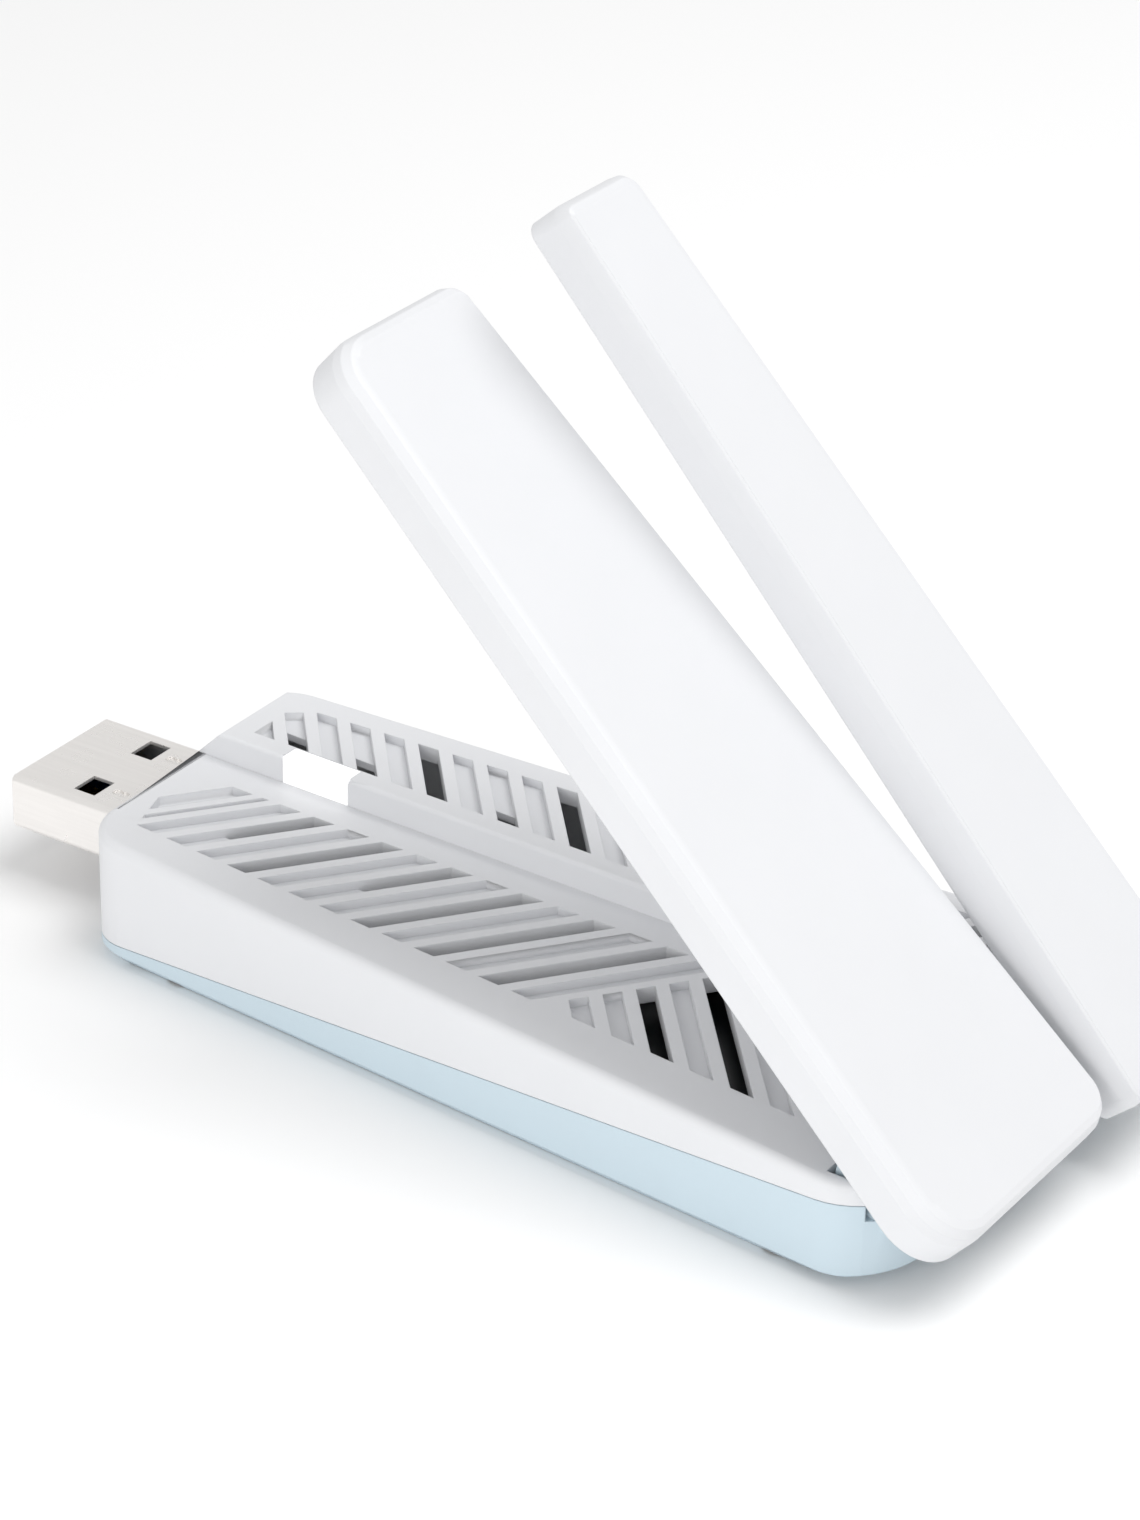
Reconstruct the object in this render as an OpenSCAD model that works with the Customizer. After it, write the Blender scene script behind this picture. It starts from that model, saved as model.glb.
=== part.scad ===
// USB wireless adapter with two folding antennas. Sizes in millimetres.
// X runs from the plug to the hinges, Y across, Z up from the underside. X = 0 is the plug end of the case.

/* [Case] */
// Length of the case without the plug
body_len = 74; // [62:0.5:92]
// Width of the case at the plug end
plug_end_w = 24.4; // [21:0.1:30]
// Width of the case at the hinge end
hinge_end_w = 37.2; // [31:0.1:46]
// Height of the low level at the plug end
plug_end_h = 10.6; // [10:0.1:13]
// Height of the low level at the hinge end
hinge_end_h = 8.3; // [7.8:0.1:10]
// How far the narrow level stands above the wide one
step_h = 2.2; // [1.8:0.1:3]
// Share of the width that the low level takes
near_share = 0.61; // [0.56:0.01:0.64]
// Height of the joint between the shells at the plug end
seam_plug_h = 1.5; // [1.4:0.1:2.4]
// Height of the joint between the shells at the hinge end
seam_hinge_h = 7; // [6:0.1:7.2]
// Corner radius in plan at the plug end
plug_corner_r = 4.5; // [3:0.1:5.5]
// Corner radius in plan at the hinge end
hinge_corner_r = 5.5; // [4:0.1:6]
// Thickness of the side walls and the floor
wall = 1.2; // [1:0.05:1.5]
// Thickness of the grille
roof = 1.3; // [1.1:0.05:1.5]
// Width of the bevel round the underside
foot_bevel = 1; // [0.5:0.1:1.2]

/* [Plug] */
// Width of the steel plug
plug_w = 12; // [11.9:0.05:12.1]
// Height of the steel plug
plug_t = 4.5; // [4.4:0.05:4.6]
// Length of plug outside the case
plug_len = 11.5; // [11:0.1:12.5]
// Sheet thickness of the plug
plug_sheet = 0.3; // [0.25:0.01:0.35]
// Height of the middle of the plug above the underside
plug_mid_h = 6.4; // [6:0.1:6.8]

/* [Vents] */
// Angle of the slots that lean towards the hinge
vent_lean = 54; // [45:1:60]
// Angle of the slots that lean towards the plug
vent_counter_lean = 50; // [42:1:56]
// Pitch of the leaning slots, measured along the case
vent_pitch = 3.08; // [2.8:0.02:3.6]
// Pitch of the counter-leaning slots, measured along the case
vent_counter_pitch = 3.24; // [3:0.02:3.8]
// Width of a slot, measured along the case
vent_w = 1.9; // [1.5:0.05:2.2]
// Depth of a blind slot
vent_blind_depth = 0.7; // [0.4:0.05:0.9]

/* [Antennas] */
// Thickness of each antenna
antenna_t = 4; // [3.8:0.1:5]
// Length of each antenna from the hinge axis to the tip
antenna_reach = 67; // [56:0.5:70]
// Length of each antenna beyond the hinge axis
antenna_tail = 7.6; // [6:0.1:8]
// Angle of the wide antenna above the underside, as drawn
near_open = 41.5; // [20:0.5:58]
// Angle of the narrow antenna above the underside, as drawn
far_open = 49; // [20:0.5:58]
// Steepest angle of either antenna
open_stop = 60; // [58:1:70]
// Skin thickness of the antenna cases
skin = 1; // [0.9:0.05:1.1]
// Softness of the outer long edges
soft_edge = 1.5; // [0.8:0.1:1.8]
// Gap between the two antennas
antenna_split_gap = 0.9; // [0.7:0.1:1.6]

/* [Hinges] */
// Radius of the hinge lugs and barrels
barrel_r = 2.2; // [2.1:0.05:2.3]
// Radius of the solid hinge pins
pin_r = 0.9; // [0.8:0.05:1]
// Outside radius of the hollow bushes that carry the coax
bush_r = 1.3; // [1.2:0.05:1.35]
// Bore radius of the hollow bushes
bush_bore_r = 0.75; // [0.7:0.01:0.8]
// Radius of the coax
coax_r = 0.57; // [0.5:0.01:0.6]
// Thickness of the friction washers
washer_t = 0.3; // [0.2:0.05:0.35]

/* [Electronics] */
// Thickness of the main board
board_t = 1; // [0.8:0.1:1.2]
// Length of the main board
board_len = 58; // [46:0.5:60]
// Thickness of the antenna boards
antenna_board_t = 0.6; // [0.4:0.1:0.8]
// Side of the wireless chip
chip_w = 9; // [7:0.5:10]
// Height of the shield can
can_h = 1.5; // [1.3:0.1:1.6]
// Shank radius of the case screws
screw_r = 0.8; // [0.7:0.05:0.9]

/* [Hidden] */
$fn = 48;
corner_steps = 10;          // straight steps round the corner of a plan outline
eps = 0.01;                 // overlap that keeps cuts clean
far_out = 60;               // reach of a cutting shape past the model
fit = 0.05;                 // clearance of parts fixed in one body
run = 0.06;                 // radial clearance of a turning fit
free = 0.4;                 // clearance between moving bodies
rest_gap = 0.3;             // gap below a closed antenna
tilt = atan((plug_end_h - hinge_end_h) / body_len);
seam_tilt = atan((seam_hinge_h - seam_plug_h) / body_len);
side_tan = (hinge_end_w - plug_end_w) / 2 / body_len;
side_cos = cos(atan(side_tan));

function half_w(x) = plug_end_w / 2 + side_tan * x;
function low_z(x) = plug_end_h - tan(tilt) * x;
function high_z(x) = low_z(x) + step_h;
function seam_z(x) = seam_plug_h + tan(seam_tilt) * x;
function step_y(x) = half_w(x) * (2 * near_share - 1);

// Hinge axis
axis_back = 3;              // from the case's nominal end to the axis
axis_x = body_len - axis_back;
axis_drop = 0.2;            // axis below the low level
axis_z = low_z(axis_x) - axis_drop;
near_lift = axis_drop + rest_gap;
far_lift = near_lift + step_h;
trough_r = barrel_r + free;
trough_half = half_w(axis_x) - wall;
end_keep = near_lift - rest_gap;

// The stored frame's origin is the middle of the case's underside
module in_frame() {
    translate([-body_len / 2, 0, 0]) children();
}

// Plan outlines with round corners
function unit(v) = v / norm(v);
function turn(a, b, c) = acos(unit(a - b) * unit(c - b));
function tan_pt(a, b, c, r) = b + unit(a - b) * r / tan(turn(a, b, c) / 2);
function mid_pt(a, b, c, r) = b + unit(unit(a - b) + unit(c - b)) * r / sin(turn(a, b, c) / 2);

function bearing(v) = atan2(v[1], v[0]);
function half_circle(a) = a > 180 ? a - 360 : a < -180 ? a + 360 : a;
function corner(a, b, c, r) =
    let (m = mid_pt(a, b, c, r), first = bearing(tan_pt(a, b, c, r) - m),
         sweep = half_circle(bearing(tan_pt(c, b, a, r) - m) - first))
    [for (k = [0 : corner_steps], w = first + sweep * k / corner_steps) m + r * [cos(w), sin(w)]];
module rounded(p, r) {
    n = len(p);
    polygon([for (i = [0 : n - 1]) each corner(p[(i + n - 1) % n], p[i], p[(i + 1) % n], r[i])]);
}

module case_plan(inset) {
    x0 = inset;
    x1 = body_len - inset;
    w0 = half_w(x0) - inset / side_cos;
    w1 = half_w(x1) - inset / side_cos;
    ra = plug_corner_r - inset;
    rb = hinge_corner_r - inset;
    rounded([[x0, -w0], [x1, -w1], [x1, w1], [x0, w0]], [ra, rb, rb, ra]);
}

// Everything below a plane that is level across the case
module below(z_plug, slope_deg) {
    drop = tan(slope_deg);
    rotate([90, 0, 0]) linear_extrude(2 * far_out, center = true)
        polygon([[-far_out, -far_out], [2 * far_out, -far_out],
                 [2 * far_out, z_plug - drop * 2 * far_out], [-far_out, z_plug + drop * far_out]]);
}

// Plan of the raised level's side of the step
module high_side_plan(inset) {
    polygon([[-far_out, step_y(-far_out) + inset], [2 * far_out, step_y(2 * far_out) + inset],
             [2 * far_out, 2 * far_out], [-far_out, 2 * far_out]]);
}

// Everything the antenna tails never reach
module end_limit(keep) {
    c = cos(open_stop);
    s = sin(open_stop);
    rotate([90, 0, 0]) linear_extrude(2 * far_out, center = true)
        translate([axis_x + keep * s, axis_z + keep * c])
            polygon([[far_out * c, -far_out * s], [-far_out * c, far_out * s],
                     [-3 * far_out, far_out], [-3 * far_out, -far_out]]);
}

nose_slope = 45;            // slope of the raised level's plug end
lift_start = 10;            // the underside rises over this length at the hinge end
lift_deg = 9;
module level_cut(drop, inset) {
    below(plug_end_h - drop, tilt);
    intersection() {
        below(plug_end_h + step_h - drop, tilt);
        translate([0, 0, -far_out]) linear_extrude(3 * far_out) high_side_plan(inset);
        below(plug_end_h - drop - inset, -nose_slope);
    }
}

module case_outside() {
    intersection() {
        union() {
            translate([0, 0, foot_bevel]) linear_extrude(far_out) case_plan(0);
            hull() {
                linear_extrude(eps) case_plan(foot_bevel);
                translate([0, 0, foot_bevel]) linear_extrude(eps) case_plan(0);
            }
        }
        level_cut(0, 0);
        end_limit(end_keep);
        translate([body_len - lift_start, 0, 0]) rotate([0, -lift_deg, 0])
            translate([-2 * far_out, -far_out, 0]) cube([4 * far_out, 2 * far_out, far_out]);
    }
}

module case_inside() {
    intersection() {
        translate([0, 0, wall]) linear_extrude(far_out) case_plan(wall);
        level_cut(roof, wall);
        translate([-far_out, -far_out, -far_out])
            cube([far_out + axis_x - trough_r - wall, 2 * far_out, 3 * far_out]);
    }
}

// Screw posts
post_r = 1.9;
post_plug_x = 9;
post_hinge_x = axis_x - trough_r - wall - post_r - 1;
post_inset = 2.3;           // post centre inside the case's side
posts = [for (x = [post_plug_x, post_hinge_x], s = [-1, 1]) [x, s * (half_w(x) - post_inset)]];
head_r = 1.4;
head_t = 0.8;
head_z = 0.6;               // screw head bottom above the underside
screw_clear = 0.15;
screw_tip = low_z(post_hinge_x) - 0.6;

// Main board
board_x0 = 4;
board_top = min(plug_mid_h - 0.4, axis_z - 3 * coax_r - 0.3);
board_z = board_top - board_t;
board_half0 = 7;
board_neck = 5.55;
board_neck_x = 6.4;
board_half1 = half_w(post_hinge_x) - post_inset - post_r - 0.6;
board_x1 = min(board_x0 + board_len, post_hinge_x - post_r);
rest_x = [14, board_x1 - 6];
rest_y = 5.5;
rest_r = 1.2;
peg_r = 0.6;

module case_solid() {
    difference() {
        case_outside();
        case_inside();
        hinge_trough();
    }
    intersection() {
        case_outside();
        for (p = posts) translate([p[0], p[1], 0]) cylinder(r = post_r, h = far_out);
    }
}

module hinge_trough() {
    translate([axis_x, 0, axis_z]) rotate([90, 0, 0])
        cylinder(r = trough_r, h = 2 * trough_half, center = true);
    translate([axis_x - trough_r, -trough_half, axis_z])
        cube([far_out, 2 * trough_half, far_out]);
    translate([axis_x, -trough_half, axis_z - trough_r + eps])
        cube([far_out, 2 * trough_half, far_out]);
}

// Hinge layout across the case, from the near side to the far side
lug_t = 2;
lug_foot = 0.85 * barrel_r; // half the width of a lug's foot
knuckle_gap = washer_t + 2 * fit;
lug_side_gap = 0.5;         // from the trough's side to the first lug
near_lug_a = -trough_half + lug_side_gap;
near_knuckle_a = near_lug_a + lug_t + knuckle_gap;
near_knuckle_w = 3;
near_lug_back = 3.5;        // from the step to the near antenna's inner lug
near_lug_b = step_y(axis_x) - near_lug_back;
near_knuckle_b = near_lug_b - knuckle_gap - near_knuckle_w;
far_lug_ahead = 2.6;        // from the step to the far antenna's inner lug
far_lug_a = step_y(axis_x) + far_lug_ahead;
far_knuckle_w = 1.8;
far_knuckle_a = far_lug_a + lug_t + knuckle_gap;
far_lug_b = trough_half - lug_side_gap - lug_t;
far_knuckle_b = far_lug_b - knuckle_gap - far_knuckle_w;

// Straight round bar across the case
module bar(y, w, r) {
    translate([axis_x, y + w, axis_z]) rotate([90, 0, 0]) cylinder(r = r, h = w);
}
module lug(y, bore) {
    difference() {
        union() {
            bar(y, lug_t, barrel_r);
            translate([axis_x - lug_foot, y + fit, axis_z - trough_r - wall / 2])
                cube([2 * lug_foot, lug_t - 2 * fit, trough_r + wall / 2 - barrel_r / 4]);
        }
        bar(y - eps, lug_t + 2 * eps, bore);
    }
}
module lugs() {
    intersection() {
        union() {
            lug(near_lug_a, pin_r + fit / 2);
            lug(near_lug_b, bush_r + fit / 2);
            lug(far_lug_a, bush_r + fit / 2);
            lug(far_lug_b, pin_r + fit / 2);
        }
        union() {
            end_limit(end_keep);
            translate([axis_x, 0, axis_z]) rotate([90, 0, 0])
                cylinder(r = barrel_r + fit, h = 2 * far_out, center = true);
        }
    }
}

// Plug and light openings in the case
module plug_hole(grow) {
    translate([-far_out, -plug_w / 2 - grow, plug_mid_h - plug_t / 2 - grow])
        cube([far_out + wall + 1, plug_w + 2 * grow, plug_t + 2 * grow]);
}
lens_x = 8;
lens_len = 6;
lens_w = 1.7;
stem_len = 3;
stem_w = 1.2;
stem_y = step_y(lens_x + lens_len / 2) + lens_w / 2;
stem_bottom = board_top + 1;  // above the light on the board
module lens_plan(grow) {
    x0 = lens_x - grow;
    x1 = lens_x + lens_len + grow;
    polygon([[x0, step_y(x0) - eps - grow * 2], [x1, step_y(x1) - eps - grow * 2],
             [x1, step_y(x1) + lens_w + grow], [x0, step_y(x0) + lens_w + grow]]);
}
module lens_block(grow) {
    mid_x = lens_x + lens_len / 2;
    intersection() {
        linear_extrude(far_out) lens_plan(grow);
        below(plug_end_h + step_h + 2 * grow, tilt);
        above_low();
    }
    translate([mid_x - stem_len / 2 - grow, stem_y - stem_w / 2 - grow, stem_bottom - grow])
        cube([stem_len + 2 * grow, stem_w + 2 * grow, low_z(mid_x) + step_h / 2 - stem_bottom + grow]);
}
module above_low() {
    drop = tan(tilt);
    rotate([90, 0, 0]) linear_extrude(2 * far_out, center = true)
        polygon([[-far_out, plug_end_h + drop * far_out], [2 * far_out, plug_end_h - drop * 2 * far_out],
                 [2 * far_out, 3 * far_out], [-far_out, 3 * far_out]]);
}

// Vents: strips cut to a field
lean_k = 1 / tan(vent_lean);
counter_k = -1 / tan(vent_counter_lean);
module strip(x, y, k, w) {
    polygon([[x - far_out * k, y - far_out], [x + w - far_out * k, y - far_out],
             [x + w + far_out * k, y + far_out], [x + far_out * k, y + far_out]]);
}
border = 3.3;               // low level's plain border
high_border = 2.6;
flip_share = 0.56;          // where the low level's slots change direction
field_end = post_hinge_x + 1;
low_top_inset = 2.9;        // from the step to the low level's slots
high_low_inset = 1.8;       // from the step to the raised level's slots
field_x0 = 1.7;
first_x = 3.2;
near_y0 = -half_w(first_x) + border;
flip_x = body_len * flip_share;
rib = 1;
near_n = floor((flip_x - first_x) / vent_pitch) + 1;
flip_edge = first_x + near_n * vent_pitch - vent_pitch + vent_w + rib;
function near_bottom(x) = -half_w(x) + border + x * 0.025;
function near_top(x) = step_y(x) - low_top_inset;
function far_bottom(x) = step_y(x) + high_low_inset;
function far_top(x) = half_w(x) - high_border;

module near_field_a() {
    polygon([[field_x0, near_y0 + 5.4], [first_x, near_bottom(first_x)], [body_len, near_bottom(body_len)],
             [body_len, near_top(body_len)], [first_x, near_top(first_x)]]);
}
module near_field_b() {
    intersection() {
        polygon([[first_x, near_bottom(first_x)], [field_end, near_bottom(field_end)],
                 [field_end, near_top(field_end)], [first_x, near_top(first_x)]]);
        translate([flip_edge, 0]) strip(0, near_y0, lean_k, far_out);
    }
}
far_flip_x = body_len * 0.66;
far_n = floor((far_flip_x - 2 * first_x) / vent_counter_pitch) + 1;
far_first = 9.1;            // low end of the first full raised slot
module far_field_a() {
    polygon([[4, far_bottom(4)], [field_end, far_bottom(field_end)], [field_end, far_top(field_end)],
             [6, far_top(6)], [4, far_bottom(4) + 4]]);
}
module far_field_b() {
    intersection() {
        polygon([[first_x, far_bottom(first_x)], [field_end, far_bottom(field_end)],
                 [field_end, far_top(field_end)], [first_x, far_top(first_x)]]);
        translate([far_first + rib + (far_n - 1) * vent_counter_pitch, 0])
            strip(0, far_bottom(far_first), counter_k, far_out);
    }
}
// kind 0: every slot. kind 1: through slots only
module near_strips(kind) {
    intersection() {
        near_field_a();
        union() {
            for (i = [0 : near_n - 1]) if (kind == 0 || (i % 2 == 1 && (i > 6 || i % 4 == 3)))
                strip(first_x + i * vent_pitch, near_y0, lean_k, vent_w);
            if (kind == 0) strip(first_x - 1.6, near_y0, lean_k, 0.6);
            if (kind == 0) strip(first_x - 4.4, near_y0, lean_k, vent_w);
        }
    }
    if (kind == 1) intersection() {
        near_field_a();
        for (i = [1, 5]) strip(first_x + i * vent_pitch, near_y0, lean_k, vent_w);
        translate([0, -5.6]) square([far_out, far_out]);
    }
    intersection() {
        near_field_b();
        for (i = [0 : 14]) if (kind == 0 || (i % 2 == 0 && i > 1))
            strip(flip_edge + 0.3 + i * vent_counter_pitch, near_y0 - 1.5, counter_k, vent_w);
    }
}
module far_strips(kind) {
    intersection() {
        far_field_a();
        for (i = [-1 : far_n - 1]) if (kind == 0 || i == 4 || i == 8 || i == 12)
            strip(far_first - vent_w + i * vent_counter_pitch, far_bottom(far_first), counter_k, vent_w);
    }
    if (kind == 1) intersection() {
        far_field_a();
        for (i = [0, 2, 6, 10])
            strip(far_first - vent_w + i * vent_counter_pitch, far_bottom(far_first), counter_k, vent_w);
        square([far_out, far_bottom(far_first) + 2.4]);
    }
    intersection() {
        far_field_b();
        for (i = [0 : 9]) if (kind == 0 || i % 2 == 1)
            strip(far_first + rib + (far_n + i - 1) * vent_counter_pitch + 0.3,
                  far_bottom(far_first), lean_k, vent_w);
    }
}
// Solid over a vent plan, down to a depth below its level
module vent_cut(level_h, depth) {
    difference() {
        linear_extrude(far_out) children();
        below(level_h - depth, tilt);
    }
}

// Round lead through a list of points that turns at right angles. Every second length is a little thinner
lead_neck = 0.06;
module lead(p, r) {
    n = len(p) - 1;
    for (i = [0 : n - 1])
        let (thin = i % 2, d = p[i + 1] - p[i], u = unit(d),
             a = thin == 1 || i == 0 ? 0 : r, b = thin == 1 || i == n - 1 ? 0 : r)
            translate(p[i] - u * a) rotate([0, acos(u[2]), atan2(u[1], u[0])])
                cylinder(r = r - thin * lead_neck, h = norm(d) + a + b);
}
bush_over = 0.2;            // bush past the lug or barrel
lead_clear = 0.15;          // clearance round a lead in its hole
meet_gap = 0.15;            // from the meeting point to the end of each length of lead
coax_z = board_top + coax_r + 0.1;
lead_offset = 1;            // from the end of the bush to the lead in the case
near_lead_y = near_lug_b + lug_t + bush_over + lead_offset;
far_lead_y = far_lug_a - bush_over - lead_offset;
near_meet = near_lug_b - knuckle_gap / 2;
far_meet = far_lug_a + lug_t + knuckle_gap / 2;
socket_x = board_x1 - 7;
socket_stagger = 3;
socket_r = 1;
function body_route(x, y, end_y) =
    [[x, y, coax_z], [axis_x, y, coax_z], [axis_x, y, axis_z], [axis_x, end_y, axis_z]];
near_route = body_route(socket_x + socket_r, near_lead_y, near_meet + meet_gap);
far_route = body_route(socket_x - socket_stagger + socket_r, far_lead_y, far_meet - meet_gap);
module lead_channels() {
    for (y = [near_lead_y, far_lead_y])
        translate([board_x1 - 2, y, coax_z]) rotate([0, 90, 0])
            cylinder(r = coax_r + lead_clear, h = axis_x - board_x1 + 2 + coax_r + lead_clear);
}

module upper_shell() {
    in_frame() color([0.95, 0.96, 0.97]) difference() {
        case_solid();
        below(seam_plug_h + fit / 2, -seam_tilt);
        vent_cut(plug_end_h, vent_blind_depth) near_strips(0);
        vent_cut(plug_end_h, 2 * roof) near_strips(1);
        vent_cut(plug_end_h + step_h, vent_blind_depth) far_strips(0);
        vent_cut(plug_end_h + step_h, 2 * roof) far_strips(1);
        lens_block(fit);
        plug_hole(fit);
        lead_channels();
        for (p = posts) translate([p[0], p[1], 0]) cylinder(r = screw_r + fit / 2, h = screw_tip + fit);
    }
}

module board_rests() {
    for (x = rest_x, y = [-rest_y, rest_y]) translate([x, y, wall / 2]) {
        cylinder(r = rest_r, h = board_z - wall / 2);
        cylinder(r = peg_r, h = board_top - wall / 2);
    }
}
module lower_shell() {
    in_frame() color([0.79, 0.86, 0.9]) difference() {
        union() {
            intersection() {
                case_solid();
                below(seam_plug_h - fit / 2, -seam_tilt);
            }
            lugs();
            board_rests();
        }
        lead_channels();
        for (p = posts) translate([p[0], p[1], -wall]) {
            cylinder(r = head_r + screw_clear, h = wall + head_z + head_t);
            cylinder(r = screw_r + screw_clear, h = far_out);
        }
    }
}

driver_w = 0.4;
driver_depth = 0.5;
module shell_screws() {
    in_frame() color([0.6, 0.61, 0.63]) for (p = posts) translate([p[0], p[1], head_z]) difference() {
        union() {
            cylinder(r = head_r, h = head_t);
            cylinder(r = screw_r, h = screw_tip - head_z);
        }
        for (a = [0, 90]) rotate(a) translate([-head_r / 2, -driver_w / 2, -eps])
            cube([head_r, driver_w, driver_depth]);
    }
}

module status_light_lens() {
    in_frame() color([1, 1, 1]) lens_block(0);
}
led = [1.6, 0.8, 0.6];
module status_led() {
    in_frame() color([0.97, 0.97, 0.9]) on_board(lens_x + lens_len / 2, stem_y, led);
}

// Plug
plug_corner = 0.5;
plug_back = 3.6;            // plug length inside the case
window_x = 5.16 - plug_len;
window = [2, 2.5];
window_y = 2.26;
dimple_x = 8.6 - plug_len;
dimple_y = 3.3;
dimple_r = 0.4;
dimple_half = 0.3;          // half the straight part of a dimple
dimple_depth = 0.15;
tab_len = 2.2;
tongue_t = 1.85;
tongue_setback = 0.4;       // tongue end behind the plug's mouth
tongue_side = 0.2;
insulator_x = 9.2 - plug_len;
module along_x(x0, x1) {
    translate([x0, 0, plug_mid_h]) rotate([90, 0, 90]) linear_extrude(x1 - x0) children();
}
module plug_section(w, t, r) {
    rounded([[-w / 2, -t / 2], [w / 2, -t / 2], [w / 2, t / 2], [-w / 2, t / 2]], [r, r, r, r]);
}
module usb_plug_shell() {
    in_frame() color([0.78, 0.77, 0.74]) difference() {
        union() {
            along_x(-plug_len, plug_back) plug_section(plug_w, plug_t, plug_corner);
            for (s = [-1, 1], y = (s * (plug_w - plug_sheet) - plug_sheet) / 2)
                translate([plug_back - eps, y, board_z]) cube([tab_len, plug_sheet, board_t]);
        }
        along_x(-plug_len - 1, plug_back + eps / 10)
            plug_section(plug_w - 2 * plug_sheet, plug_t - 2 * plug_sheet, plug_corner - plug_sheet);
        for (s = [-1, 1]) translate([window_x, s * (window_y + window[1] / 2) - window[1] / 2, 0])
            cube([window[0], window[1], far_out]);
        for (s = [-1, 1], t = [-dimple_half, dimple_half])
            translate([dimple_x + t, s * dimple_y, plug_mid_h + plug_t / 2 - dimple_depth])
                cylinder(r = dimple_r, h = 1, $fn = 24);
    }
}
module usb_tongue() {
    w = plug_w - 2 * plug_sheet - 2 * fit;
    t = plug_t - 2 * plug_sheet - 2 * fit;
    in_frame() color([0.1, 0.25, 0.6]) {
        along_x(insulator_x, plug_back) plug_section(w, t, plug_corner - plug_sheet);
        translate([tongue_setback - plug_len, -w / 2 + tongue_side, plug_mid_h - t / 2])
            cube([insulator_x + plug_len, w - 2 * tongue_side, tongue_t]);
    }
}
blade = [4, 1, 0.15];
blade_pitch = 2.25;
spring = [1.5, 0.6, 0.25];
spring_pitch = 2;
tail = [2, 0.4, 0.2];
tail_pitch = 1.1;
module usb_contacts() {
    top = plug_mid_h - plug_t / 2 + plug_sheet + fit + tongue_t;
    in_frame() color([0.85, 0.7, 0.35]) {
        for (i = [-1.5 : 1.5])
            translate([1 - plug_len, i * blade_pitch - blade[1] / 2, top]) cube(blade);
        for (i = [-2 : 2])
            translate([insulator_x - spring[0] - 2 * fit, i * spring_pitch - spring[1] / 2, top])
                cube(spring);
        for (i = [-4 : 4])
            translate([plug_back + fit, i * tail_pitch - tail[1] / 2, board_top]) cube(tail);
    }
}

// Electronics
module board_plan() {
    polygon([[board_x0, -board_neck], [board_neck_x, -board_neck], [board_neck_x, -board_half0],
             [board_x1, -board_half1], [board_x1, board_half1], [board_neck_x, board_half0],
             [board_neck_x, board_neck], [board_x0, board_neck]]);
}
module main_board() {
    in_frame() color([0.1, 0.28, 0.16]) translate([0, 0, board_z]) linear_extrude(board_t) difference() {
        board_plan();
        for (x = rest_x, y = [-rest_y, rest_y]) translate([x, y]) circle(peg_r + fit);
    }
}
chip_x = 30;
chip_h = 0.9;
amplifier = [3, 3, 0.8];
amplifier_x = chip_x + chip_w / 2 + 4;
crystal_size = [2.5, 2, 0.7];
crystal_x = chip_x - chip_w / 2 - 3;
inductor = [3, 3, 1.3];
capacitor = [1, 0.5, 0.5];
capacitor_pitch = 1.8;
can_x = 19;
can_len = 24;
can_w = 13;
can_t = 0.2;
can_hole_r = 0.5;
can_hole_pitch = [3.6, 3.5];
can_hole_edge = 3;
module on_board(x, y, s) {
    translate([x - s[0] / 2, y - s[1] / 2, board_top]) cube(s);
}
module wifi_chip() {
    in_frame() color([0.12, 0.12, 0.13]) on_board(chip_x, 0, [chip_w, chip_w, chip_h]);
}
module radio_amplifiers() {
    in_frame() color([0.14, 0.14, 0.15]) for (y = [-amplifier[1], amplifier[1]])
        on_board(amplifier_x, y, amplifier);
}
module crystal() {
    in_frame() color([0.75, 0.74, 0.7]) on_board(crystal_x, amplifier[1], crystal_size);
}
module shield_can() {
    in_frame() color([0.7, 0.71, 0.72]) translate([can_x, -can_w / 2, board_top]) difference() {
        cube([can_len, can_w, can_h]);
        translate([can_t, can_t, -eps]) cube([can_len - 2 * can_t, can_w - 2 * can_t, can_h - can_t + eps]);
        for (i = [0 : 5], j = [0 : 2])
            translate([can_hole_edge + i * can_hole_pitch[0], can_hole_edge + j * can_hole_pitch[1], 0])
                cylinder(r = can_hole_r, h = far_out, $fn = 24);
    }
}
module power_inductor() {
    in_frame() color([0.2, 0.2, 0.21]) on_board(11, -3.5, inductor);
}
module board_capacitors() {
    in_frame() color([0.62, 0.5, 0.38]) {
        for (i = [0 : 3]) on_board(9 + i * capacitor_pitch, -0.2, capacitor);
        for (i = [0 : 2], y = [near_lead_y - 1.5, far_lead_y + 2])
            on_board(socket_x - 8 + i * capacitor_pitch, y, capacitor);
    }
}
socket_h = 1.1;
module coax_sockets() {
    in_frame() color([0.82, 0.7, 0.4]) for (p = [[0, near_lead_y], [-socket_stagger, far_lead_y]])
        translate([socket_x + p[0], p[1], board_top]) cylinder(r = socket_r - fit, h = socket_h);
}
pad_t = 0.8;
pad = [14, 12, pad_t];
sink_base = 1;
sink_w = 16;
fin_t = 1;
fin_pitch = 2.5;
module thermal_pad() {
    in_frame() color([0.55, 0.6, 0.7])
        translate([chip_x - pad[0] / 2, -pad[1] / 2, board_z - pad_t]) cube(pad);
}
module heat_spreader() {
    z1 = board_z - pad_t;
    in_frame() color([0.72, 0.73, 0.74]) {
        translate([can_x, -sink_w / 2, z1 - sink_base]) cube([can_len, sink_w, sink_base]);
        for (i = [0 : 6]) translate([can_x, i * fin_pitch - sink_w / 2, wall])
            cube([can_len, fin_t, z1 - sink_base - wall + eps]);
    }
}
module near_body_coax() {
    in_frame() color([0.16, 0.16, 0.17]) lead(near_route, coax_r);
}
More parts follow.
